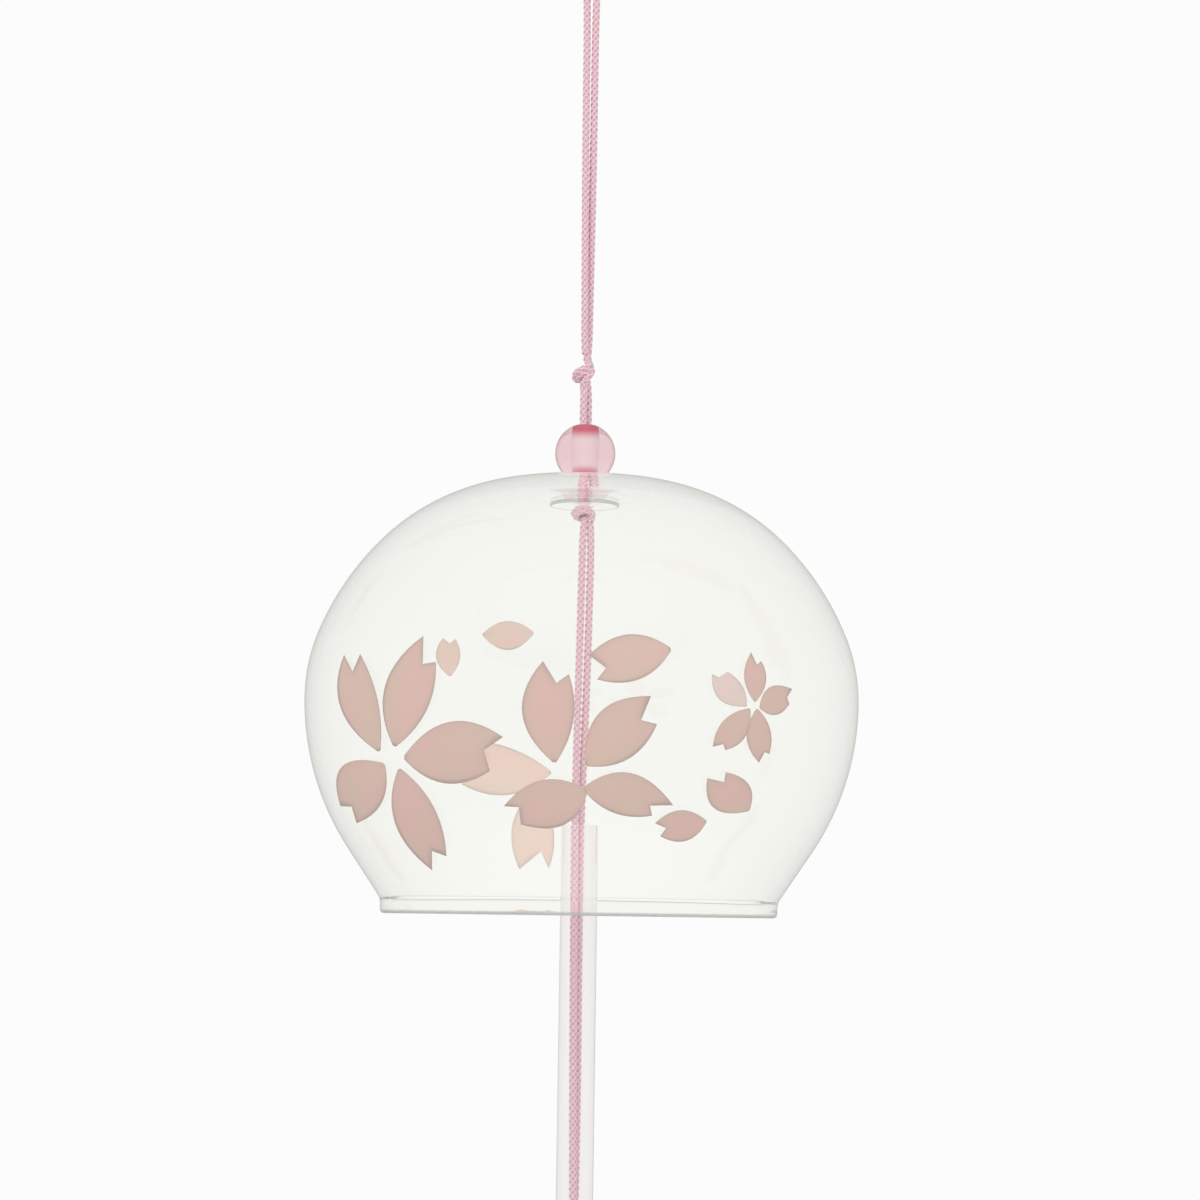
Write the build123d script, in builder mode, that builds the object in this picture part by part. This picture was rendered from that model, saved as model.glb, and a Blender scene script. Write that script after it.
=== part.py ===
from build123d import *
import os
from math import asin, atan, cos, degrees, pi, radians, sin, sqrt, tan

# Furin wind bell: a blown glass bell on a doubled cord, held between a glass bead on its crown
# and a stopper and knot inside it. The cord runs on through a glass clapper tube to a paper strip.
# Lengths are in millimetres and angles in degrees, +Z is up, and the paper strip faces -Y.
# The origin is where the hook bears, under the top of the hanging loop.

# Cord: one braided cord laid double, so that every stretch below the loop is two strands
cord_diameter = 1.1
strand_gap = 0.15
hook_wire = 1.2
eye_height = 9.0
hook_to_upper_knot = 65.8
upper_knot_to_crown = 16.2
neck_turn = 58.0
clapper_turn = 37.0
tie_length = 10.0

# Knots
upper_knot_width = 3.4
upper_knot_height = 5.2
inner_knot_width = 3.8
inner_knot_height = 2.6
tube_knot_width = 4.2
tube_knot_height = 3.4

# Bell: outside sizes, with the lip standing upright under the straight skirt
bell_radius = 40.0
belly_height = 31.0
side_turn = 21.9
shoulder_turn = 22.7
skirt_slope = 33.9
bell_wall = 1.1
crown_wall = 1.8
crown_hole = 3.4
crown_edge_bevel = 0.25
lip_height = 2.1
lip_wall = 1.35
lip_round = 0.4
side_arc_share = 0.625
shoulder_arc_share = 1.0175
crown_arc_share = 0.7625
waist_drop_share = 0.7

# Bead on the crown
bead_diameter = 8.8
bead_height = 8.2
bead_bore = 2.7
bead_mouth = 3.0
bead_mouth_depth = 1.3

# Stopper under the crown
washer_diameter = 10.3
washer_thickness = 0.8
washer_bore = 2.9
washer_edge_round = 0.25

# Clapper tube
tube_diameter = 5.3
tube_bore = 3.4
tube_length = 100.0
tube_top_above_rim = 13.0
tube_end_round = 0.3

# Paper strip
strip_width = 38.0
strip_length = 130.0
strip_thickness = 0.35
strip_hole = 4.0
strip_hole_drop = 6.0

# Clearances: between pieces that turn on each other, and round what a cord goes through
seat_gap = 0.3
cord_swing_gap = 0.4
paper_side_gap = 0.3
slide_stop_gap = 1.0

# Shares: how far an arc of the cord's path may eat into a straight run, and how the turns of a
# knot lie, each as its rise over the knot's height and its reach over the knot's width
run_share = 0.45
core_width_share = 0.62
long_knot_turns_share = [(-0.25, 0.84), (-0.02, 1.0), (0.24, 0.8)]
short_knot_turns_share = [(-0.19, 1.0), (0.18, 0.9)]

quarter_turn = 90.0
half_turn = 180.0

# Places down the string, worked out from the sizes above
cord_radius = cord_diameter / 2
strand_spacing = cord_diameter + strand_gap
side_arc = side_arc_share * bell_radius
shoulder_arc = shoulder_arc_share * bell_radius
crown_arc = crown_arc_share * bell_radius
waist_arc = waist_drop_share * belly_height / sin(radians(skirt_slope))
crown_turn = quarter_turn - side_turn - shoulder_turn
shoulder_angle = radians(side_turn + shoulder_turn)
side_rise = side_arc * sin(radians(side_turn))
shoulder_rise = shoulder_arc * (sin(shoulder_angle) - sin(radians(side_turn)))
crown_rise = crown_arc * (1 - sin(shoulder_angle))
bell_height = belly_height + side_rise + shoulder_rise + crown_rise

upper_knot_z = -hook_to_upper_knot
upper_knot_foot_z = upper_knot_z - upper_knot_height / 2
crown_z = upper_knot_z - upper_knot_to_crown
belly_z = crown_z - bell_height + belly_height
rim_z = crown_z - bell_height
bead_z = crown_z + seat_gap + bead_height / 2
washer_z = crown_z - crown_wall - washer_thickness
inner_knot_z = washer_z - seat_gap - inner_knot_height / 2
inner_knot_foot_z = inner_knot_z - inner_knot_height / 2
tube_top_z = rim_z + tube_top_above_rim
tube_foot_z = tube_top_z - tube_length
tube_knot_z = tube_foot_z - seat_gap - tube_knot_height / 2
tie_top_z = tube_knot_z - tube_knot_width / 2 - seat_gap
tie_foot_z = tie_top_z - tie_length
strip_hole_z = tie_foot_z + cord_radius + seat_gap - strip_hole / 2
strip_top_z = strip_hole_z + strip_hole_drop


def tube_along(path):
    """Sweep the cord's round section along a path."""
    with BuildSketch(Plane(origin=path @ 0, z_dir=path % 0)) as section:
        Circle(cord_radius)
    sweep(sections=section.sketch, path=path)


def straight_pair(label, foot_z, top_z, turn):
    """Two upright strands side by side, with the line between them turned about the string."""
    with BuildPart(Plane.XY.offset(foot_z)) as pair:
        with PolarLocations(strand_spacing / 2, 2, start_angle=turn):
            Cylinder(cord_radius, top_z - foot_z, align=(Align.CENTER, Align.CENTER, Align.MIN))
    pair.part.label = label
    return pair.part


def tight_knot(label, centre_z, width, height, turns):
    """A tight knot: a round-ended core with turns of cord lying one above the other round it."""
    with BuildPart() as knot:
        with BuildSketch(Plane.XZ):
            with Locations((0, centre_z)):
                SlotOverall(height, core_width_share * width, rotation=quarter_turn)
            for rise, reach in turns:
                with Locations((reach * width / 2 - cord_radius, centre_z + rise * height)):
                    Circle(cord_radius)
            with Locations((0, centre_z)):
                Rectangle(width, height, align=(Align.MIN, Align.CENTER), mode=Mode.INTERSECT)
        revolve(axis=Axis.Z)
    knot.part.label = label
    return knot.part


def make_hanging_loop():
    """One cord up from the knot, round the hook and back down, its strands side by side."""
    eye_radius = (hook_wire + cord_diameter) / 2
    foot_z = upper_knot_z + upper_knot_height / 2 + seat_gap
    across = strand_spacing / 2
    drop = eye_height - hook_wire / 2
    reach = sqrt(across**2 + drop**2 - eye_radius**2)
    lean = degrees(asin(eye_radius / sqrt(across**2 + drop**2)) - atan(across / drop))
    taken = run_share * reach
    bend_radius = taken / tan(radians(lean / 2))
    print("hanging loop bend radii", round(bend_radius, 2), round(eye_radius, 2))
    with BuildPart() as loop:
        with BuildLine(Plane.XZ) as route:
            rise = Line((-across, foot_z), (-across, -eye_height - taken))
            part_out = JernArc(rise @ 1, rise % 1, bend_radius, lean)
            climb = Line(part_out @ 1, part_out @ 1 + (part_out % 1) * (reach - taken))
            over = JernArc(climb @ 1, climb % 1, eye_radius, -half_turn - 2 * lean)
            descend = Line(over @ 1, over @ 1 + (over % 1) * (reach - taken))
            part_in = JernArc(descend @ 1, descend % 1, bend_radius, lean)
            Line(part_in @ 1, (across, foot_z))
        tube_along(route.wires()[0])
    loop.part.label = "hanging_loop"
    length = route.wires()[0].length
    swept = loop.part.volume / (pi * cord_radius**2 * length)
    print("hanging loop length", round(length, 1), "volume over section times length", round(swept, 4))
    return loop.part


def dome_line(inset, crown_inset, crown_edge, lip_radius):
    """One side of the glass in section, from the lip over the belly to the crown's hole."""
    belly = (bell_radius - inset, belly_z)
    waist = JernArc(belly, (0, -1), waist_arc - inset, -skirt_slope)
    lip_top = (lip_radius, rim_z + lip_height)
    Line(waist @ 1, lip_top)
    Line(lip_top, (lip_radius, rim_z))
    side = JernArc(belly, (0, 1), side_arc - inset, side_turn)
    shoulder = JernArc(side @ 1, side % 1, shoulder_arc - inset, shoulder_turn)
    top_z = crown_z - crown_inset
    crown_radius = (top_z - (shoulder @ 1).Y) / (1 - sin(shoulder_angle))
    crown = JernArc(shoulder @ 1, shoulder % 1, crown_radius, crown_turn)
    Line(crown @ 1, (crown_edge, top_z))


def make_glass_bell():
    """Flattened round bell, thicker at the crown, with a short upright lip that is fire polished."""
    skirt_top_radius = bell_radius - waist_arc * (1 - cos(radians(skirt_slope)))
    skirt_drop = belly_height - waist_drop_share * belly_height - lip_height
    lip_outer = skirt_top_radius - skirt_drop * tan(radians(skirt_slope))
    lip_inner = lip_outer - lip_wall
    hole_edge = crown_hole / 2
    with BuildPart() as glass_bell:
        with BuildSketch(Plane.XZ):
            with BuildLine():
                dome_line(0, 0, hole_edge, lip_outer)
                dome_line(bell_wall, crown_wall, hole_edge, lip_inner)
                Line((hole_edge, crown_z), (hole_edge, crown_z - crown_wall))
                Line((lip_outer, rim_z), (lip_inner, rim_z))
            make_face()
        revolve(axis=Axis.Z)
        rings = glass_bell.edges().filter_by(GeomType.CIRCLE)
        fillet(rings.group_by(Axis.Z)[0], lip_round)
        chamfer(rings.group_by(SortBy.RADIUS)[0], crown_edge_bevel)
    glass_bell.part.label = "glass_bell"
    print("mouth radius", round(lip_outer, 2), "inside", round(lip_inner, 2), "height", round(bell_height, 2))
    return glass_bell.part


def make_crown_bead():
    """Round glass bead with flat ends, whose bore opens into a shallow funnel at each end."""
    flat_radius = sqrt((bead_diameter / 2) ** 2 - (bead_height / 2) ** 2)
    with BuildPart() as bead:
        with BuildSketch(Plane.XZ):
            with BuildLine():
                top = (flat_radius, bead_z + bead_height / 2)
                foot = (flat_radius, bead_z - bead_height / 2)
                ThreePointArc(top, (bead_diameter / 2, bead_z), foot)
                Polyline(
                    foot,
                    (bead_mouth / 2, bead_z - bead_height / 2),
                    (bead_bore / 2, bead_z - bead_height / 2 + bead_mouth_depth),
                    (bead_bore / 2, bead_z + bead_height / 2 - bead_mouth_depth),
                    (bead_mouth / 2, bead_z + bead_height / 2),
                    top,
                )
            make_face()
        revolve(axis=Axis.Z)
    bead.part.label = "crown_bead"
    return bead.part


def make_stopper_washer():
    """Clear disc with a hole for the doubled cord, flat against the glass under the crown."""
    with BuildPart() as washer:
        with BuildSketch(Plane.XY.offset(washer_z)):
            Circle(washer_diameter / 2)
            Circle(washer_bore / 2, mode=Mode.SUBTRACT)
        extrude(amount=washer_thickness)
        rings = washer.edges().filter_by(GeomType.CIRCLE)
        fillet(rings.group_by(SortBy.RADIUS)[-1], washer_edge_round)
    washer.part.label = "stopper_washer"
    return washer.part


def make_clapper_tube():
    """Straight glass tube with fire polished ends."""
    with BuildPart() as tube:
        with BuildSketch(Plane.XY.offset(tube_foot_z)):
            Circle(tube_diameter / 2)
            Circle(tube_bore / 2, mode=Mode.SUBTRACT)
        extrude(amount=tube_length)
        fillet(tube.edges().filter_by(GeomType.CIRCLE), tube_end_round)
    tube.part.label = "clapper_tube"
    return tube.part


def make_strip_tie():
    """Cord down one face of the strip, through its hole and up the other face."""
    across = (cord_diameter + strip_thickness) / 2 + paper_side_gap
    with BuildPart() as tie:
        with BuildLine(Plane.YZ) as route:
            down = Line((-across, tie_top_z), (-across, tie_foot_z + across))
            under = JernArc(down @ 1, down % 1, across, half_turn)
            Line(under @ 1, (across, tie_top_z))
        tube_along(route.wires()[0])
    tie.part.label = "strip_tie"
    print("strip tie length", round(route.wires()[0].length, 1), "bend radius", round(across, 2))
    return tie.part


def make_tanzaku():
    """Paper strip with one punched hole."""
    with BuildPart() as strip:
        with BuildSketch(Plane.XZ.offset(-strip_thickness / 2)):
            with Locations((0, strip_top_z)):
                Rectangle(strip_width, strip_length, align=(Align.CENTER, Align.MAX))
            with Locations((0, strip_hole_z)):
                Circle(strip_hole / 2, mode=Mode.SUBTRACT)
        extrude(amount=strip_thickness)
    strip.part.label = "tanzaku"
    return strip.part


neck_top_z = upper_knot_foot_z - cord_swing_gap
clapper_cord_top_z = inner_knot_foot_z - cord_swing_gap
clapper_cord_foot_z = tube_knot_z + tube_knot_height / 2 + seat_gap

pieces = [
    make_hanging_loop(),
    tight_knot("upper_knot", upper_knot_z, upper_knot_width, upper_knot_height, long_knot_turns_share),
    straight_pair("neck_cord", washer_z, neck_top_z, neck_turn),
    make_crown_bead(),
    make_glass_bell(),
    make_stopper_washer(),
    tight_knot("inner_knot", inner_knot_z, inner_knot_width, inner_knot_height, short_knot_turns_share),
    straight_pair("clapper_cord", clapper_cord_foot_z, clapper_cord_top_z, clapper_turn),
    make_clapper_tube(),
    tight_knot("tube_knot", tube_knot_z, tube_knot_width, tube_knot_height, short_knot_turns_share),
    make_strip_tie(),
    make_tanzaku(),
]

os.makedirs("parts", exist_ok=True)
for piece in pieces:
    export_step(piece, f"parts/{piece.label}.step")

bead_travel = upper_knot_foot_z - slide_stop_gap - bead_z - bead_height / 2
tube_travel = inner_knot_foot_z - slide_stop_gap - tube_top_z
print("crown", round(crown_z, 2), "rim", round(rim_z, 2), "belly", round(belly_z, 2))
print("hinges: upper knot", round(upper_knot_foot_z, 2), "inner knot", round(inner_knot_foot_z, 2))
print("hinges: tube knot", round(tube_knot_z, 2), "strip", round(tie_foot_z, 2))
print("bead travel", round(bead_travel, 2), "tube travel", round(tube_travel, 2))
print("strip top", round(strip_top_z, 2), "foot", round(strip_top_z - strip_length, 2))
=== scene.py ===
from math import ceil, cos, exp, pi, radians, sin

import bpy
from mathutils import Euler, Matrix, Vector
from mathutils.bvhtree import BVHTree


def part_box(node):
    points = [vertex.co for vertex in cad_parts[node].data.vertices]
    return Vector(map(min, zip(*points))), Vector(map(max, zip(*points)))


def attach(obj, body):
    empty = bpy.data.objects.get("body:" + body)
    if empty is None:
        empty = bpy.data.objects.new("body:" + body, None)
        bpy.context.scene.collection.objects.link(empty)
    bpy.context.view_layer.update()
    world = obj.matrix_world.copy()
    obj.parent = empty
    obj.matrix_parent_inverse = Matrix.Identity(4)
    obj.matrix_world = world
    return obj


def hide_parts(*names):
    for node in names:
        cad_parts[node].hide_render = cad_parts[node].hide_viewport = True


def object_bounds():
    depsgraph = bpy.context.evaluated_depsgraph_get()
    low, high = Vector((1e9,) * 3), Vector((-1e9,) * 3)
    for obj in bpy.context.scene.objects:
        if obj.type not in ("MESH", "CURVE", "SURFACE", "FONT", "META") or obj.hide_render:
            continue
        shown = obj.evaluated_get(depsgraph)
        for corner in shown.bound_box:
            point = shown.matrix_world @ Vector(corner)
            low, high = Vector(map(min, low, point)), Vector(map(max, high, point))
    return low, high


# A furin wind bell in metres, +Z up. The camera looks along +Y at the painted front of the bell.
mm = 0.001
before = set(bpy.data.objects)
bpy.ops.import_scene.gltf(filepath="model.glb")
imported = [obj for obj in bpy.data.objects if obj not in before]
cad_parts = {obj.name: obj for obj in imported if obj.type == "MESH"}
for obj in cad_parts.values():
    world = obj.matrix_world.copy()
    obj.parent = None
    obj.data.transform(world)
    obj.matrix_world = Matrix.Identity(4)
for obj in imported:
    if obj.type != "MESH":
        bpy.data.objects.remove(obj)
cad_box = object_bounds()


def middle(node):
    """The middle of a node's box."""
    low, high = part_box(node)
    return (Vector(low) + Vector(high)) / 2


def span(node):
    """A node's size along X, Y and Z."""
    low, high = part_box(node)
    return Vector(high) - Vector(low)


rim_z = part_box("glass_bell")[0][2]
crown_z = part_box("glass_bell")[1][2]
bell_radius = span("glass_bell").x / 2
tube_knot = middle("tube_knot")

# Camera: level with the rim, pitched up, and rolled between the leans of the bell and the string
picture_size = 1200
camera_distance = 435 * mm
camera_aside = 2.45 * mm
camera_pitch = 6.0
camera_roll = 0.8
sensor_width = 36
lens = 90.2
near_clip = 5 * mm
far_clip = 20

# Cord: a round braid of eight carriers, four turning each way
cord_radius = 0.55 * mm
knot_cord_radius = 0.5 * mm
braid_starts = 4
braid_pitch = 0.95 * mm
braid_relief = 0.075 * mm
braid_weave = 0.03 * mm
braid_sides = 20
braid_step = 0.09 * mm

# Knots: which way their two strands lie beside each other, and how far each is from the middle
knot_side = (0.35, 0.93, 0)
upper_knot_spread = 0.32 * mm
inner_knot_spread = 0.36 * mm
tube_knot_spread = 0.40 * mm

# Bell: its section, as a chain of arcs from the widest place up to the crown and down to the lip
belly_height = 31.0 * mm
side_arc = 25.0 * mm
shoulder_arc = 40.7 * mm
waist_arc = 38.9 * mm
side_turn = radians(21.9)
shoulder_turn = radians(22.7)
skirt_turn = radians(33.9)
bell_wall = 1.1 * mm
crown_wall = 1.8 * mm
crown_hole_radius = 1.7 * mm
lip_height = 2.1 * mm
lip_wall = 1.35 * mm
lip_round = 0.6 * mm
crease_round = 0.6 * mm
ground_height = 0.35 * mm
ground_share = 0.85
glass_step = 0.6 * mm
glass_sides = 240
fewest_arc_steps = 3

# Paint: petals that lie on the outside of the glass, some of them paled by a painted reflection of the
# glass over them
paint_gap = 0.04 * mm
paint_thickness = 0.035 * mm
paint_rows = 14
paint_columns = 12
petal_base_share = 0.02
tip_power = 3
edge_fading = 1.1
# Share of the petal colour left where a reflection of light on the glass is painted over a petal
reflected_colour_share = 0.45
far_reflected_colour_share = 0.85

# Clear materials: how strongly each bends light, and how often a ray turns in one before it goes out
glass_ior = 1.5
plastic_ior = 1.49
bead_ior = 1.48
longest_way = 4.5

# Lamps: in metres and watts
lamp_size = 0.9
key_place = (-0.7, -0.9, 0.6)
key_power = 5
fill_place = (0.9, -0.6, 0.1)
fill_power = 2


# Helpers for meshes

def keep(obj):
    """Put an object into the scene."""
    bpy.context.scene.collection.objects.link(obj)
    return obj


def mesh_piece(name, points, faces, material):
    """A smooth mesh object with one material."""
    mesh = bpy.data.meshes.new(name)
    mesh.from_pydata([tuple(p) for p in points], [], faces)
    mesh.materials.append(material)
    mesh.polygons.foreach_set("use_smooth", [True] * len(mesh.polygons))
    mesh.update()
    return keep(bpy.data.objects.new(name, mesh))


def arc_from(start, heading, radius, turn):
    """Points along an arc that leaves a point at a heading and turns left, or right if negative."""
    side = 1 if turn > 0 else -1
    centre = start + Vector((-sin(heading), cos(heading))) * radius * side
    count = max(fewest_arc_steps, ceil(radius * abs(turn) / glass_step))
    angles = [heading + turn * k / count for k in range(count + 1)]
    return [centre - Vector((-sin(a), cos(a))) * radius * side for a in angles]


def turned_piece(name, section, sides, material):
    """A smooth piece turned about the string's axis from a closed section of radius and height."""
    points = [
        Vector((r * cos(2 * pi * k / sides), r * sin(2 * pi * k / sides), z))
        for r, z in section for k in range(sides)
    ]
    faces = []
    for row in range(len(section)):
        after = (row + 1) % len(section)
        for k in range(sides):
            beside = (k + 1) % sides
            faces.append((row * sides + k, after * sides + k, after * sides + beside, row * sides + beside))
    return mesh_piece(name, points, faces, material)


def point_values(obj, name, values):
    """Keep one number for each point of a mesh, for its material to read."""
    layer = obj.data.attributes.new(name, "FLOAT", "POINT")
    layer.data.foreach_set("value", values)


# Helpers for materials

def linear(red, green, blue):
    """A screen's colour, 0 to 255, as the linear colour the shaders take, by the usual sRGB formula."""
    shares = [v / 255 for v in (red, green, blue)]
    return [((s + 0.055) / 1.055) ** 2.4 if s > 0.04045 else s / 12.92 for s in shares] + [1]


def new_material(name):
    """A material with a Principled shader, its node tree and that shader."""
    material = bpy.data.materials.new(name)
    material.use_nodes = True
    return material, material.node_tree, material.node_tree.nodes["Principled BSDF"]


def node(tree, kind, inputs=(), **settings):
    """A node with its settings, and its inputs set to a value or linked from a socket."""
    made = tree.nodes.new(kind)
    for key, value in settings.items():
        setattr(made, key, value)
    for key, value in dict(inputs).items():
        if isinstance(value, bpy.types.NodeSocket):
            tree.links.new(value, made.inputs[key])
        else:
            made.inputs[key].default_value = value
    return made


def ramp(tree, factor, low, high, start, end):
    """A colour that goes from low to high as the factor goes from start to end."""
    made = node(tree, "ShaderNodeValToRGB", {"Fac": factor})
    first, last = made.color_ramp.elements
    first.position, last.position = start, end
    first.color, last.color = low, high
    return made.outputs["Color"]


def mixed(tree, factor, first, second):
    """A colour between two others."""
    made = node(tree, "ShaderNodeMix", data_type="RGBA")
    for key, value in (("Factor", factor), ("A", first), ("B", second)):
        socket = [s for s in made.inputs if s.name == key and s.enabled][0]
        if isinstance(value, bpy.types.NodeSocket):
            tree.links.new(value, socket)
        else:
            socket.default_value = value
    return [s for s in made.outputs if s.enabled][0]


def own_place(tree):
    """The place of each point in the object's own metres."""
    return node(tree, "ShaderNodeTexCoord").outputs["Object"]


def noise(tree, scale, detail, stretch=(1, 1, 1)):
    """A soft noise in the object's own metres, stretched along an axis if asked."""
    mapping = node(tree, "ShaderNodeMapping", {"Vector": own_place(tree), "Scale": stretch})
    sockets = {"Vector": mapping.outputs["Vector"], "Scale": scale, "Detail": detail}
    return node(tree, "ShaderNodeTexNoise", sockets).outputs["Fac"]


def bump(tree, shader, height, distance, strength):
    """Raise the surface by a height pattern."""
    sockets = {"Height": height, "Distance": distance, "Strength": strength}
    made = node(tree, "ShaderNodeBump", sockets)
    tree.links.new(made.outputs["Normal"], shader.inputs["Normal"])


def number(tree, operation, first, second=0.0):
    """A number worked out from one or two others."""
    return node(tree, "ShaderNodeMath", {0: first, 1: second}, operation=operation).outputs[0]


def eased(tree, value, start, end):
    """A number that rises smoothly from zero to one as a value goes from start to end."""
    sockets = {"Value": value, "From Min": start, "From Max": end}
    return node(tree, "ShaderNodeMapRange", sockets, interpolation_type="SMOOTHSTEP").outputs[0]


def off_axis(tree):
    """How far each point is from the string's axis."""
    flat = node(tree, "ShaderNodeVectorMath", {0: own_place(tree), 1: (1, 1, 0)}, operation="MULTIPLY")
    return node(tree, "ShaderNodeVectorMath", {0: flat.outputs[0]}, operation="LENGTH").outputs["Value"]


def point_number(tree, name):
    """The number that was kept for each point of the mesh."""
    return node(tree, "ShaderNodeAttribute", attribute_name=name).outputs["Fac"]


def blended(tree, factor, first, second):
    """A shader between two others."""
    return node(tree, "ShaderNodeMixShader", {0: factor, 1: first, 2: second}).outputs[0]


def late_ray(tree, path):
    """One for a ray that has turned in the glass for long, and zero for any other."""
    return number(tree, "GREATER_THAN", path["Ray Depth"], longest_way)


def light_around(tree, colour, strength):
    """An even light from all around."""
    return node(tree, "ShaderNodeBackground", {"Color": colour, "Strength": strength}).outputs[0]


# Materials

def cord_material():
    """Satin pink braid: painted shade between the carriers and a painted highlight on their crests, with
    the fine filaments along it.
    """
    shade_end = 0.1
    highlight_start = 0.75
    patch_scale = 420
    patch_share = 0.45
    filament_scale = 9000
    filament_stretch = (1, 1, 0.25)
    filament_height = 0.02 * mm
    filament_strength = 0.5
    groove_painted_shade = linear(213, 164, 178)
    crest_painted_highlight = linear(250, 224, 230)
    deeper = linear(233, 188, 200)
    material, tree, shader = new_material("satin_braid")
    # Painted shade in the grooves and a painted highlight on the crests, by how high each point stands on
    # the braid
    body = ramp(tree, point_number(tree, "rise"), groove_painted_shade, crest_painted_highlight, shade_end, highlight_start)
    share = number(tree, "MULTIPLY", noise(tree, patch_scale, detail=2), patch_share)
    tree.links.new(mixed(tree, share, body, deeper), shader.inputs["Base Color"])
    shader.inputs["Roughness"].default_value = 0.42
    shader.inputs["Sheen Weight"].default_value = 0.35
    shader.inputs["Sheen Roughness"].default_value = 0.4
    filaments = noise(tree, filament_scale, detail=2, stretch=filament_stretch)
    bump(tree, shader, filaments, filament_height, filament_strength)
    return material


def let_light_in(tree, surface):
    """Let the lamps and the sky light what is inside a glass piece, while the camera sees the glass.
    A ray that has been thrown about inside the glass for long goes out."""
    path = node(tree, "ShaderNodeLightPath").outputs
    light = number(tree, "MAXIMUM", path["Is Shadow Ray"], path["Is Diffuse Ray"])
    lit = number(tree, "MAXIMUM", light, late_ray(tree, path))
    nothing = node(tree, "ShaderNodeBsdfTransparent").outputs[0]
    whole = blended(tree, lit, surface, nothing)
    tree.links.new(whole, tree.nodes["Material Output"].inputs["Surface"])


def take_light(tree, colour, density):
    """Take a little light over the depth of the glass, most of it away from the given colour."""
    depth = node(tree, "ShaderNodeVolumeAbsorption", {"Color": colour, "Density": density})
    tree.links.new(depth.outputs["Volume"], tree.nodes["Material Output"].inputs["Volume"])


def make_clear(shader, ior):
    """Make a shader clear and smooth."""
    shader.inputs["Base Color"].default_value = (1, 1, 1, 1)
    shader.inputs["Transmission Weight"].default_value = 1.0
    shader.inputs["Roughness"].default_value = 0.0
    shader.inputs["IOR"].default_value = ior


def tube_material():
    """Clear glass, a little rosy over its depth."""
    kept_colour = (0.82, 0.77, 0.75, 1)
    density = 200
    material, tree, shader = new_material("tube_glass")
    make_clear(shader, glass_ior)
    let_light_in(tree, shader.outputs[0])
    take_light(tree, kept_colour, density)
    return material


def bell_material():
    """Clear blown glass, frosted where the rim is ground."""
    tint = (0.994, 0.994, 0.974, 1)
    kept_colour = (0.8, 0.82, 0.77, 1)
    density = 44
    material, tree, shader = new_material("bell_glass")
    make_clear(shader, glass_ior)
    shader.inputs["Base Color"].default_value = tint
    frosted = node(tree, "ShaderNodeBsdfDiffuse", {"Color": linear(194, 196, 192)}).outputs[0]
    ground = point_number(tree, "ground")
    let_light_in(tree, blended(tree, ground, shader.outputs[0], frosted))
    take_light(tree, kept_colour, density)
    return material


def washer_material(radius):
    """Clear plastic with painted shade that greys its outer edge."""
    shaded_edge_share = 0.94
    kept_colour = (0.8, 0.85, 0.8, 1)
    density = 4
    material, tree, shader = new_material("washer_plastic")
    make_clear(shader, plastic_ior)
    # Painted shade: the outer edge is greyed for the dark line that the edge of clear plastic shows
    edge = number(tree, "GREATER_THAN", off_axis(tree), radius * shaded_edge_share)
    tint = mixed(tree, edge, (1, 1, 1, 1), linear(150, 154, 150))
    tree.links.new(tint, shader.inputs["Base Color"])
    let_light_in(tree, shader.outputs[0])
    take_light(tree, kept_colour, density)
    return material


def bead_material(centre, half_height):
    """Pale rose glass whose rough bore is milky, and deep pink where it opens at each end, with painted
    shade that greys it towards its outline.
    """
    bore_reach = 1.66 * mm
    mouth_start_share = 0.3
    mouth_end_share = 0.68
    rim_shade_start = 0.5
    rim_shade_end = 0.92
    kept_colour = (0.78, 0.42, 0.47, 1)
    density = 84
    material, tree, shader = new_material("rose_bead_glass")
    height = node(tree, "ShaderNodeSeparateXYZ", {"Vector": own_place(tree)}).outputs["Z"]
    off_middle = number(tree, "ABSOLUTE", number(tree, "SUBTRACT", height, centre.z))
    mouth = eased(tree, off_middle, half_height * mouth_start_share, half_height * mouth_end_share)
    bore = number(tree, "LESS_THAN", off_axis(tree), bore_reach)
    lining = mixed(tree, mouth, linear(252, 246, 247), linear(218, 112, 132))
    milky = node(tree, "ShaderNodeBsdfDiffuse", {"Color": lining}).outputs[0]
    # Painted shade: the glass greys towards its outline as its surface turns away from view
    facing = node(tree, "ShaderNodeLayerWeight", {"Blend": 0.5}).outputs["Facing"]
    skin = ramp(tree, facing, linear(253, 244, 245), linear(204, 172, 179), rim_shade_start, rim_shade_end)
    tree.links.new(skin, shader.inputs["Base Color"])
    shader.inputs["Transmission Weight"].default_value = 1.0
    shader.inputs["Roughness"].default_value = 0.04
    shader.inputs["IOR"].default_value = bead_ior
    let_light_in(tree, blended(tree, bore, shader.outputs[0], milky))
    take_light(tree, kept_colour, density)
    return material


def petal_material():
    """Rosy beige enamel in a thin uneven wash, greyer at its edge, and paled where a reflection on the
    glass over it is painted in.
    """
    blush_scale = 130
    rose_end = 0.38
    beige_start = 0.62
    tooth_scale = 900
    tooth_height = 0.02 * mm
    tooth_strength = 0.4
    rose = linear(223, 187, 178)
    beige = linear(217, 191, 176)
    material, tree, shader = new_material("petal_enamel")
    blush = ramp(tree, noise(tree, blush_scale, detail=3), rose, beige, rose_end, beige_start)
    rimmed = mixed(tree, point_number(tree, "edge"), blush, linear(206, 182, 172))
    # Painted reflection: the petal colour fades to pale cream where a reflection on the glass over it is
    # painted in
    colour = mixed(tree, point_number(tree, "petal_colour_share"), linear(238, 226, 218), rimmed)
    tree.links.new(colour, shader.inputs["Base Color"])
    shader.inputs["Roughness"].default_value = 0.5
    bump(tree, shader, noise(tree, tooth_scale, detail=3), tooth_height, tooth_strength)
    return material


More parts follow.
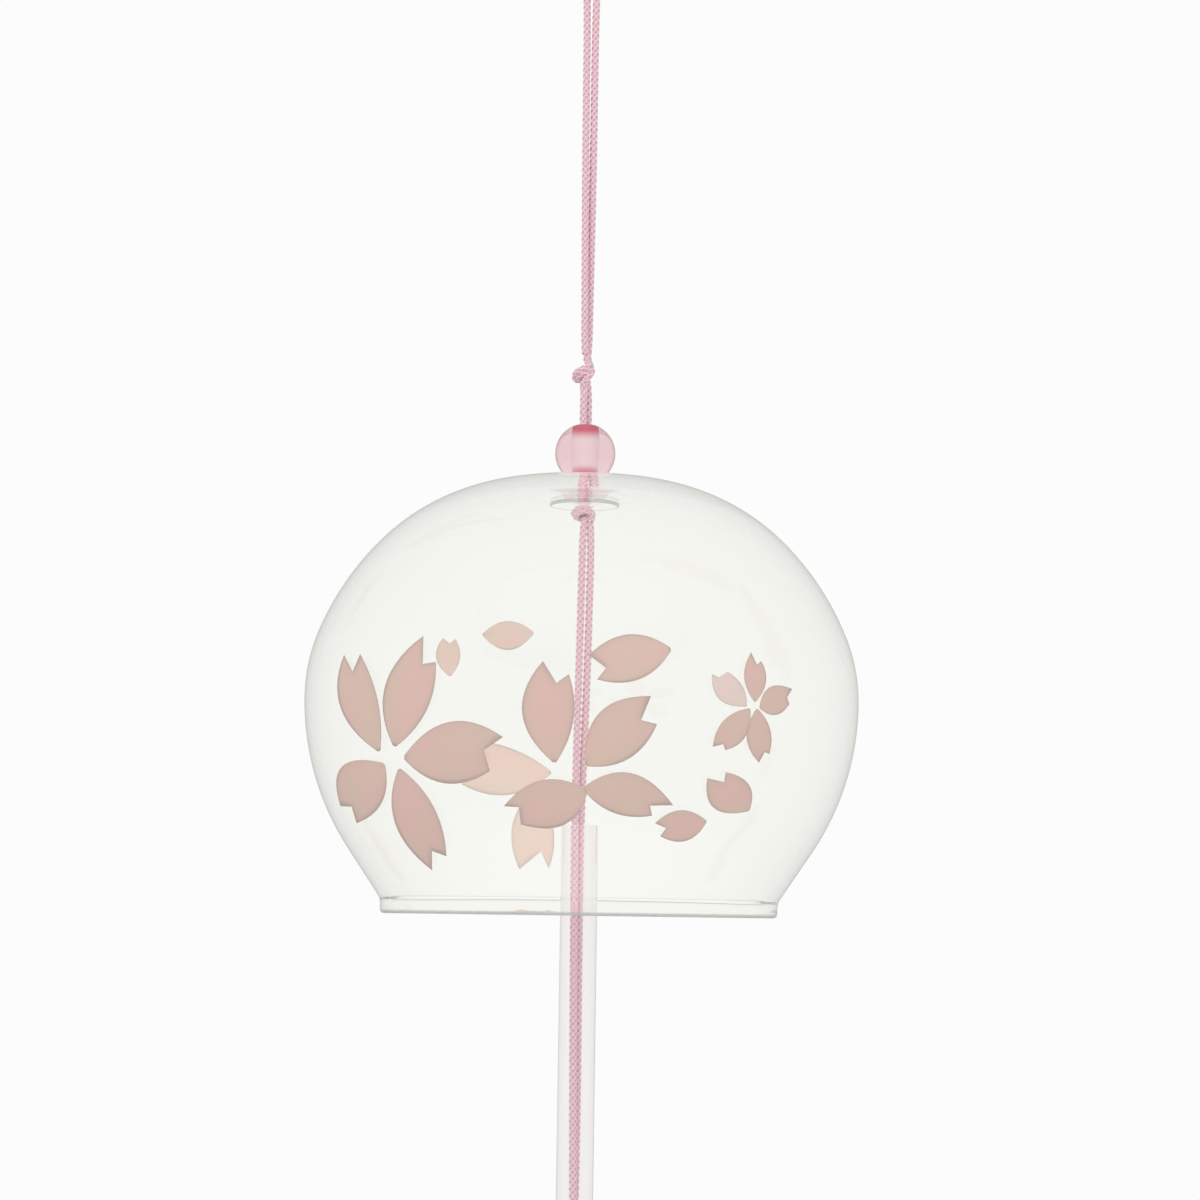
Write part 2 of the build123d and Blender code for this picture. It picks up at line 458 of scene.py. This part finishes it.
def paper_material():
    """Handmade paper: warm white, with long fibres a little darker than it and a soft tooth."""
    fibre_scale = 900
    fibre_stretch = (1, 1, 0.05)
    fibre_start = 0.5
    fibre_end = 0.72
    cloud_scale = 60
    cloud_start = 0.35
    cloud_end = 0.65
    tooth_scale = 2600
    tooth_height = 0.05 * mm
    tooth_strength = 0.5
    dim = linear(240, 234, 222)
    bright = linear(248, 244, 236)
    material, tree, shader = new_material("strip_paper")
    base = ramp(tree, noise(tree, cloud_scale, detail=3), dim, bright, cloud_start, cloud_end)
    fibres = noise(tree, fibre_scale, detail=6, stretch=fibre_stretch)
    share = ramp(tree, fibres, (0, 0, 0, 1), (1, 1, 1, 1), fibre_start, fibre_end)
    tree.links.new(mixed(tree, share, base, linear(237, 230, 217)), shader.inputs["Base Color"])
    shader.inputs["Roughness"].default_value = 0.9
    bump(tree, shader, noise(tree, tooth_scale, detail=4), tooth_height, tooth_strength)
    return material


def dress(name, material):
    """Give a CAD node's own object a material in place of each it has."""
    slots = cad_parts[name].data.materials
    for index in range(len(slots)):
        slots[index] = material


# Studio

def make_camera():
    """The photograph's camera."""
    data = bpy.data.cameras.new("camera")
    data.lens = lens
    data.sensor_width = sensor_width
    data.clip_start = near_clip
    data.clip_end = far_clip
    camera = keep(bpy.data.objects.new("camera", data))
    turn = Euler((radians(90 + camera_pitch), 0, 0)).to_matrix()
    roll = Euler((0, 0, radians(camera_roll))).to_matrix()
    camera.matrix_world = (turn @ roll).to_4x4()
    camera.location = (camera_aside, -camera_distance, rim_z)
    bpy.context.scene.camera = camera
    bpy.context.view_layer.update()
    return camera


def make_world():
    """White where the camera looks past or through the glass, or a ray leaves it after a long way,
    a dimmer room in its reflections and a soft sky that lights everything else."""
    plain_white = (1, 1, 1, 1)
    room_colour = (1, 1, 0.93, 1)
    seen_white = 0.973
    room_light = 0.46
    soft_light = 0.75
    world = bpy.data.worlds.new("studio")
    world.use_nodes = True
    tree = world.node_tree
    tree.nodes.clear()
    path = node(tree, "ShaderNodeLightPath").outputs
    through = number(tree, "MAXIMUM", path["Is Camera Ray"], path["Is Transmission Ray"])
    seen = number(tree, "MAXIMUM", through, late_ray(tree, path))
    sky = light_around(tree, plain_white, soft_light)
    room = light_around(tree, room_colour, room_light)
    white = light_around(tree, plain_white, seen_white)
    around = blended(tree, path["Is Glossy Ray"], sky, room)
    whole = blended(tree, seen, around, white)
    node(tree, "ShaderNodeOutputWorld", {"Surface": whole})
    bpy.context.scene.world = world


def make_lamp(name, place, power):
    """A large soft lamp that points at the bell."""
    data = bpy.data.lights.new(name, "AREA")
    data.size = lamp_size
    data.energy = power
    lamp = keep(bpy.data.objects.new(name, data))
    lamp.location = place
    lamp.visible_glossy = False
    lamp.visible_transmission = False
    lamp.rotation_euler = (middle("glass_bell") - lamp.location).to_track_quat("-Z", "Y").to_euler()


def make_floor():
    """A pale round floor well under the hanging bell, which fades out towards its edge."""
    floor_radius = 1.1
    fade_start = 0.3
    floor_drop = 500 * mm
    sides = 96
    pale_grey = (0.93, 0.93, 0.93, 1)
    material, tree, shader = new_material("pale_floor")
    shader.inputs["Base Color"].default_value = pale_grey
    shader.inputs["Roughness"].default_value = 0.9
    fade = eased(tree, off_axis(tree), fade_start, floor_radius)
    nothing = node(tree, "ShaderNodeBsdfTransparent").outputs[0]
    faded = blended(tree, fade, shader.outputs[0], nothing)
    tree.links.new(faded, tree.nodes["Material Output"].inputs["Surface"])
    floor_z = cad_box[0][2] - floor_drop
    ring = [
        (floor_radius * cos(2 * pi * k / sides), floor_radius * sin(2 * pi * k / sides), floor_z)
        for k in range(sides)
    ]
    floor = mesh_piece("floor", ring, [list(range(sides))], material)


# Cord

def smooth_line(points):
    """The smooth line that a list of control points gives, read as close points."""
    curve = bpy.data.curves.new("route", "CURVE")
    curve.dimensions = "3D"
    curve.resolution_u = 24
    spline = curve.splines.new("NURBS")
    spline.points.add(len(points) - 1)
    for knot, point in zip(spline.points, points):
        knot.co = (*point, 1)
    spline.order_u = 3
    spline.use_endpoint_u = True
    route = keep(bpy.data.objects.new("route", curve))
    bpy.context.view_layer.update()
    read = bpy.data.meshes.new_from_object(route)
    line = [v.co.copy() for v in read.vertices]
    bpy.data.objects.remove(route)
    bpy.data.curves.remove(curve)
    bpy.data.meshes.remove(read)
    return line


def evenly(line, step):
    """Points a step apart along a line, both its ends among them."""
    lengths = [(b - a).length for a, b in zip(line, line[1:])]
    count = max(2, ceil(sum(lengths) / step))
    wanted = [sum(lengths) * k / count for k in range(count + 1)]
    spaced, index, passed = [], 0, 0.0
    for distance in wanted:
        while index < len(lengths) - 1 and passed + lengths[index] < distance:
            passed += lengths[index]
            index += 1
        share = min(1.0, (distance - passed) / lengths[index])
        spaced.append(line[index].lerp(line[index + 1], share))
    return spaced


def sides_along(line, first_side):
    """The direction along the line and a steady side direction at each of its points."""
    directions = [(b - a).normalized() for a, b in zip(line, line[1:])]
    directions.append(directions[-1])
    side = Vector(first_side)
    found = []
    for direction in directions:
        side = (side - direction * side.dot(direction)).normalized()
        found.append((direction, side))
    return found


def braid_height(angle, along):
    """How high the braid stands off its core, and how far up its carriers' backs that is."""
    round_part = braid_starts * angle
    along_part = 2 * pi * along / braid_pitch
    lift = braid_weave * cos(round_part)
    rising = lift + braid_relief * cos(round_part + along_part)
    falling = braid_relief * cos(round_part - along_part) - lift
    height = max(rising, falling)
    top = braid_relief + braid_weave
    return height, max(0.0, height / top)


def braided_tube(line, radius, side):
    """Points, faces and rises of a braided cord that follows a line, closed at both ends."""
    spaced = evenly(line, braid_step)
    frames = sides_along(spaced, side)
    points, rises, faces = [], [], []
    for row, (centre, (direction, out)) in enumerate(zip(spaced, frames)):
        across = direction.cross(out)
        for k in range(braid_sides):
            angle = 2 * pi * k / braid_sides
            height, rise = braid_height(angle, row * braid_step)
            reach = radius - braid_relief + height
            points.append(centre + (out * cos(angle) + across * sin(angle)) * reach)
            rises.append(rise)
    for row in range(len(spaced) - 1):
        for k in range(braid_sides):
            here = row * braid_sides + k
            beside = row * braid_sides + (k + 1) % braid_sides
            faces.append((here, beside, beside + braid_sides, here + braid_sides))
    last = (len(spaced) - 1) * braid_sides
    faces.append(tuple(reversed(range(braid_sides))))
    faces.append(tuple(range(last, last + braid_sides)))
    return points, faces, rises


def braided_piece(name, lines, radius, material, side=(1, 0, 0)):
    """One object made of braided cords along several lines."""
    points, faces, rises = [], [], []
    for line in lines:
        more_points, more_faces, more_rises = braided_tube(line, radius, side)
        start = len(points)
        points += more_points
        rises += more_rises
        faces += [tuple(start + index for index in face) for face in more_faces]
    piece = mesh_piece(name, points, faces, material)
    point_values(piece, "rise", rises)
    return piece


def make_hanging_cord(material):
    """The doubled cord from the upper knot over the hook and back, its strands slowly turning."""
    route_mm = [
        (-0.19, -0.41, -62.9), (-0.32, -0.54, -61.0), (-0.34, -0.52, -57.0), (-0.46, -0.42, -47.0),
        (-0.60, -0.20, -30.0), (-0.625, 0.0, -9.0), (-1.15, 0.0, -0.6), (-1.15, 0.0, 0.55),
        (1.15, 0.0, 0.55), (1.15, 0.0, -0.6), (0.625, 0.0, -9.0), (0.60, 0.20, -30.0),
        (0.46, 0.42, -47.0), (0.34, 0.52, -57.0), (0.32, 0.54, -61.0), (0.19, 0.41, -62.9),
    ]
    line = smooth_line([Vector(point) * mm for point in route_mm])
    cord = braided_piece("hanging_cord", [line], cord_radius, material, (0, 1, 0))
    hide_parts("hanging_loop")
    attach(cord, "loop")


def make_clapper_cord(material):
    """Two strands that bow a little from the inner knot into the glass tube, and on to its knot."""
    bow_mm = [0.42, 0.42, 0.36, 0.10, -0.25, -0.27, -0.25, -0.08, 0.0, 0.0, 0.0]
    spread_mm = [
        (0.30, 0.05, -86.6), (0.60, 0.10, -88.4), (0.62, 0.14, -96.0), (0.62, 0.20, -112.0),
        (0.46, 0.46, -128.0), (0.39, 0.52, -136.0), (0.36, 0.54, -146.0), (0.32, 0.56, -172.0),
        (0.0, 0.63, -198.0), (-0.34, 0.48, -222.0), (-0.30, 0.30, -232.6),
    ]
    for name, turn in (("clapper_strand_right", 1), ("clapper_strand_left", -1)):
        line = smooth_line([
            Vector((turn * x + aside, turn * y, z)) * mm
            for (x, y, z), aside in zip(spread_mm, bow_mm)
        ])
        strand = braided_piece(name, [line], cord_radius, material)
        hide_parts("clapper_cord")
        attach(strand, "clapper_cord")


def make_neck_cord(material):
    """Two strands from the upper knot through the bead and the crown to the inner knot."""
    route_mm = [
        (0.12, 0.20, -66.9), (0.32, 0.44, -68.2), (0.37, 0.48, -72.0), (0.36, 0.48, -79.0),
        (0.37, 0.46, -84.0), (0.22, 0.30, -85.4),
    ]
    lines = [
        smooth_line([Vector((turn * x, turn * y, z)) * mm for x, y, z in route_mm])
        for turn in (1, -1)
    ]
    neck = braided_piece("neck_strands", lines, cord_radius, material)
    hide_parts("neck_cord")
    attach(neck, "neck")


def knot_lines(node_name, shares, spread):
    """Two lines side by side through a knot, from places given as shares of the knot's size."""
    centre, size = middle(node_name), span(node_name)
    control = [centre + Vector((x * size.x, y * size.y, z * size.z)) for x, y, z in shares]
    line = evenly(smooth_line(control), braid_step)
    frames = sides_along(line, knot_side)
    return [
        [point + side * turn * spread for point, (_, side) in zip(line, frames)]
        for turn in (1, -1)
    ]


def make_upper_knot(material):
    """Overhand knot in the doubled cord over the bead."""
    shares = [
        (0.02, 0.02, 0.60), (0.02, 0.04, 0.44), (0.10, 0.02, 0.30), (0.16, -0.24, 0.14),
        (-0.14, -0.34, 0.04), (-0.42, -0.10, -0.04), (-0.38, 0.16, -0.18), (0.04, 0.30, -0.08),
        (0.22, -0.04, 0.06), (0.08, -0.22, -0.12), (-0.20, -0.10, -0.30), (-0.04, 0.0, -0.60),
    ]
    lines = knot_lines("upper_knot", shares, upper_knot_spread)
    knot = braided_piece("upper_overhand_knot", lines, knot_cord_radius, material)
    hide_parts("upper_knot")
    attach(knot, "upper_knot")


def make_inner_knot(material):
    """Stopper knot under the crown: its loop hangs on the left, and the strands leave on the right."""
    shares = [
        (0.02, 0.04, 0.66), (0.04, 0.04, 0.44), (0.12, -0.24, 0.36), (-0.14, -0.34, 0.28),
        (-0.38, -0.12, 0.12), (-0.34, 0.14, -0.16), (-0.06, 0.26, -0.14), (0.14, 0.20, 0.18),
        (0.04, -0.04, 0.28), (0.24, -0.16, 0.18), (0.24, -0.04, -0.14), (0.17, 0.0, -0.46),
    ]
    lines = knot_lines("inner_knot", shares, inner_knot_spread)
    knot = braided_piece("inner_overhand_knot", lines, knot_cord_radius, material)
    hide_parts("inner_knot")
    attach(knot, "inner_knot")


def make_tube_knot(material):
    """Knot under the tube, from which the two ends of the cord stand out as short tails."""
    shares = [
        (0.0, 0.0, 0.62), (0.0, 0.02, 0.40), (0.26, -0.08, 0.24), (0.16, -0.32, 0.04),
        (-0.22, -0.28, -0.06), (-0.34, 0.04, 0.0), (-0.10, 0.32, 0.12), (0.26, 0.24, 0.04),
        (0.32, -0.10, -0.10), (0.04, -0.16, -0.24), (-0.02, 0.0, -0.36), (0.0, 0.0, -0.50),
    ]
    tails_mm = [
        [(0.6, -0.6, 0.2), (1.8, -1.0, 0.4), (2.9, -1.1, -0.6), (3.7, -1.2, -2.2)],
        [(-0.6, 0.6, 0.1), (-1.8, 0.9, 0.5), (-2.8, 1.2, -0.3), (-3.3, 1.3, -1.7)],
    ]
    lines = knot_lines("tube_knot", shares, tube_knot_spread)
    for tail in tails_mm:
        lines.append(smooth_line([tube_knot + Vector(point) * mm for point in tail]))
    knot = braided_piece("tube_overhand_knot", lines, knot_cord_radius, material)
    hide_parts("tube_knot")
    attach(knot, "tube_knot")


def make_strip_tie(material):
    """Cord from the knot down one face of the strip, through its hole and up the other."""
    route_mm = [
        (0, -0.40, -234.4), (0, -1.10, -236.6), (0, -1.02, -241.0), (0, -1.02, -246.21),
        (0, 1.02, -246.21), (0, 1.02, -241.0), (0, 1.10, -236.6), (0, 0.40, -234.4),
    ]
    line = smooth_line([Vector(point) * mm for point in route_mm])
    tie = braided_piece("tie_cord", [line], cord_radius, material)
    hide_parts("strip_tie")
    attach(tie, "strip_tie")


# Glass

def dome_line(radius, wall, top_z, crown_edge, lip_radius, lip_foot):
    """One side of the bell's section, from the edge of the crown's hole down to the lip."""
    quarter_shares = (0.25, 0.5, 0.75)
    belly = Vector((radius, rim_z + belly_height))
    side = arc_from(belly, pi / 2, side_arc - wall, side_turn)
    shoulder_heading = pi / 2 + side_turn
    shoulder = arc_from(side[-1], shoulder_heading, shoulder_arc - wall, shoulder_turn)
    crown_heading = shoulder_heading + shoulder_turn
    crown_radius = (top_z - shoulder[-1].y) / (1 - sin(crown_heading))
    crown = arc_from(shoulder[-1], crown_heading, crown_radius, pi - crown_heading)
    flat = [Vector((crown_edge, top_z)), crown[-1].lerp(Vector((crown_edge, top_z)), 0.5)]
    up = side + shoulder[1:] + crown[1:]
    waist = arc_from(belly, -pi / 2, waist_arc - wall, -skirt_turn)
    crease = Vector((lip_radius, rim_z + lip_height))
    run = crease - waist[-1]
    before = crease - run.normalized() * crease_round
    after = crease - Vector((0, crease_round))
    bend = [
        before * (1 - t) ** 2 + crease * 2 * t * (1 - t) + after * t**2
        for t in (0, *quarter_shares, 1)
    ]
    skirt = [waist[-1].lerp(before, t) for t in quarter_shares]
    foot = [Vector((lip_radius, lip_foot))]
    return flat + up[::-1] + waist[1:] + skirt + bend + foot


def make_bell(material):
    """The bell, turned from its section: thicker at the crown, with a rim that is ground underneath."""
    skirt_top = waist_arc * sin(skirt_turn)
    skirt_radius = bell_radius - waist_arc * (1 - cos(skirt_turn))
    skirt_drop = belly_height - skirt_top - lip_height
    lip_outer = skirt_radius - skirt_drop * sin(skirt_turn) / cos(skirt_turn)
    lip_inner = lip_outer - lip_wall
    foot = rim_z + lip_round
    outside = dome_line(bell_radius, 0, crown_z, crown_hole_radius, lip_outer, foot)
    inside = dome_line(
        bell_radius - bell_wall, bell_wall, crown_z - crown_wall, crown_hole_radius, lip_inner, foot,
    )
    outer_round = arc_from(outside[-1], -pi / 2, lip_round, -pi / 2)
    inner_round = arc_from(Vector((lip_inner + lip_round, rim_z)), pi, lip_round, -pi / 2)
    section = outside + outer_round[1:] + inner_round + inside[::-1][1:]
    bell = turned_piece("blown_bell", section, glass_sides, material)
    ground_top = rim_z + ground_height
    point_values(bell, "ground", [ground_share if v.co.z < ground_top else 0.0 for v in bell.data.vertices])
    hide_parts("glass_bell")
    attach(bell, "bell")
    return bell


# Painted petals

# Each petal's corners in the photograph's pixels: its base, one side, that side's tip, the notch,
# the other tip and the other side. Front petals face the camera, and far ones show through the bell.
front_petals = {
    "left_flower": [
        [(380.4, 753), (338, 694), (344.5, 655), (353, 672), (360.5, 654), (378, 700)],
        [(394.4, 748), (384, 692), (423.6, 636), (423, 664), (436, 662), (430, 703)],
        [(403, 757.5), (455, 721), (503, 737), (484, 750), (490, 771), (448, 783.5)],
        [(385, 763), (341, 768), (341, 806), (352, 806.5), (357, 823), (376, 811)],
        [(399, 767), (392, 806), (432.4, 870), (432, 850.5), (446.6, 856), (436, 811)],
    ],
    "middle_flower": [
        [(555, 764), (522, 706), (543, 661), (556.5, 683), (569, 674), (574, 715)],
        [(585, 766), (600, 712), (651, 696), (641, 720), (657, 724), (628, 759)],
        [(582, 788), (622, 772), (673, 805), (650, 805.5), (652, 815.5), (612, 812)],
        [(588, 790), (545, 779.5), (504, 806), (519, 807), (521, 824), (570, 821)],
    ],
    "right_flower": [
        [(754.7, 702.5), (744, 673), (750.8, 652.5), (756.7, 665), (760.8, 661), (765.8, 676)],
        [(759, 708), (770, 687), (791.7, 689), (786.7, 697.5), (789, 704), (775, 715)],
        [(750, 708), (724, 720), (712.5, 746.7), (723, 744), (725, 750), (737, 745)],
        [(756.7, 708), (770, 730), (769, 754), (764.5, 752), (758.7, 762.5), (747, 742)],
    ],
    "falling_petals": [
        [(672, 649), (628, 634.5), (589, 655), (606, 668), (597, 679.5), (640, 679)],
        [(749, 811), (711, 805), (707, 778), (724, 782), (725.5, 772), (750, 787)],
        [(707, 821), (682, 810), (655, 823), (666, 828), (660, 836), (684, 841)],
    ],
}
# A front petal paled by a painted reflection of light on the glass over it
reflected_petals = {
    "right_flower_reflected_petal": [
        [(746.7, 706.7), (718, 698), (711.7, 674), (719, 677.5), (727.5, 671.7), (744, 690)],
    ],
}
# The far petals are paled by a painted reflection of the front glass before them
far_petals = {
    "far_petals": [
        [(447.5, 676), (433, 652), (440, 635), (447, 641), (453, 636), (458, 652)],
        [(533.5, 630), (506, 617.5), (480, 631.5), (481, 632.5), (482, 634), (506, 648)],
        [(552, 774), (512, 750), (474, 741), (474, 762), (459, 786), (505, 797)],
        [(532, 792), (510.5, 830), (518, 870), (540, 852), (548, 869), (553.5, 835)],
    ],
}


def bent_side(start, through, end, share):
    """A point on the smooth side of a petal, which passes through a given point."""
    start, through, end = Vector(start), Vector(through), Vector(end)
    first, second = (through - start).length, (end - through).length
    at = first / (first + second)
    pull = (through - start * (1 - at) ** 2 - end * at**2) / (2 * at * (1 - at))
    return start * (1 - share) ** 2 + pull * 2 * share * (1 - share) + end * share**2


def petal_pixel(corners, along, across):
    """The pixel of a point in a petal: along from its base to its tips, across between its sides."""
    base, side_a, tip_a, notch, tip_b, side_b = corners
    left = bent_side(base, side_a, tip_a, along)
    right = bent_side(base, side_b, tip_b, along)
    if across < 0.5:
        end = Vector(tip_a).lerp(Vector(notch), across * 2)
    else:
        end = Vector(notch).lerp(Vector(tip_b), across * 2 - 1)
    sides = left.lerp(right, across)
    straight = Vector(tip_a).lerp(Vector(tip_b), across)
    return sides + (end - straight) * along**tip_power


def on_glass(surface, camera, pixel, far):
    """Where the camera's ray through a pixel meets the outside of the bell, and the way out there."""
    focal = lens / sensor_width * picture_size
    ahead = Vector((pixel.x - picture_size / 2, picture_size / 2 - pixel.y, -focal))
    ray = (camera.matrix_world.to_3x3() @ ahead).normalized()
    start = camera.matrix_world.translation
    if far:
        start = start + ray * 2 * camera_distance
        ray = -ray
    place, normal, _, _ = surface.ray_cast(start, ray)
    return place, normal


def paint_petals(name, petals, surface, camera, material, far=False, petal_colour_share=1.0):
    """One object of painted petals, each a thin closed skin that follows the glass."""
    points, edges, faces = [], [], []
    for corners in petals:
        start = len(points)
        for layer in (paint_gap, paint_gap + paint_thickness):
            for row in range(paint_rows + 1):
                for column in range(paint_columns + 1):
                    along = max(petal_base_share, row / paint_rows)
                    across = column / paint_columns
                    pixel = petal_pixel(corners, along, across)
                    place, normal = on_glass(surface, camera, pixel, far)
                    points.append(place + normal * layer)
                    border = min(row, paint_rows - row, column, paint_columns - column)
                    edges.append(exp(-edge_fading * border))
        faces += petal_faces(start)
    piece = mesh_piece(name, points, faces, material)
    point_values(piece, "edge", edges)
    # How much of the petal colour stays under a painted reflection
    point_values(piece, "petal_colour_share", [petal_colour_share] * len(points))
    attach(piece, "bell")


def petal_faces(start):
    """The faces of one petal's skin: its inner side, its outer side and its edge."""
    width = paint_columns + 1
    layer = width * (paint_rows + 1)
    faces = []
    for row in range(paint_rows):
        for column in range(paint_columns):
            a = start + row * width + column
            faces.append((a, a + width, a + width + 1, a + 1))
            b = a + layer
            faces.append((b, b + 1, b + width + 1, b + width))
    ring = list(range(paint_columns))
    ring += [row * width + paint_columns for row in range(paint_rows)]
    ring += [paint_rows * width + column for column in range(paint_columns, 0, -1)]
    ring += [row * width for row in range(paint_rows, 0, -1)]
    for here, after in zip(ring, ring[1:] + ring[:1]):
        faces.append((start + here, start + after, start + after + layer, start + here + layer))
    return faces


def surface_of(piece):
    """A piece as a surface that rays can be cast at."""
    corners = [v.co for v in piece.data.vertices]
    return BVHTree.FromPolygons(corners, [tuple(p.vertices) for p in piece.data.polygons])


def make_petals(camera, bell):
    """All the painted petals, front and far."""
    surface = surface_of(bell)
    material = petal_material()
    for name, petals in front_petals.items():
        paint_petals(name, petals, surface, camera, material)
    for name, petals in reflected_petals.items():
        paint_petals(name, petals, surface, camera, material, petal_colour_share=reflected_colour_share)
    for name, petals in far_petals.items():
        paint_petals(name, petals, surface, camera, material, far=True, petal_colour_share=far_reflected_colour_share)


# The whole scene

bpy.context.scene.view_settings.view_transform = "Standard"
camera = make_camera()
make_world()
make_lamp("key", key_place, key_power)
make_lamp("fill", fill_place, fill_power)
make_floor()

braid = cord_material()
make_hanging_cord(braid)
make_clapper_cord(braid)
make_neck_cord(braid)
make_upper_knot(braid)
make_inner_knot(braid)
make_tube_knot(braid)
make_strip_tie(braid)

bell = make_bell(bell_material())
dress("clapper_tube", tube_material())
dress("stopper_washer", washer_material(span("stopper_washer").x / 2))
dress("crown_bead", bead_material(middle("crown_bead"), span("crown_bead").z / 2))
dress("tanzaku", paper_material())
make_petals(camera, bell)
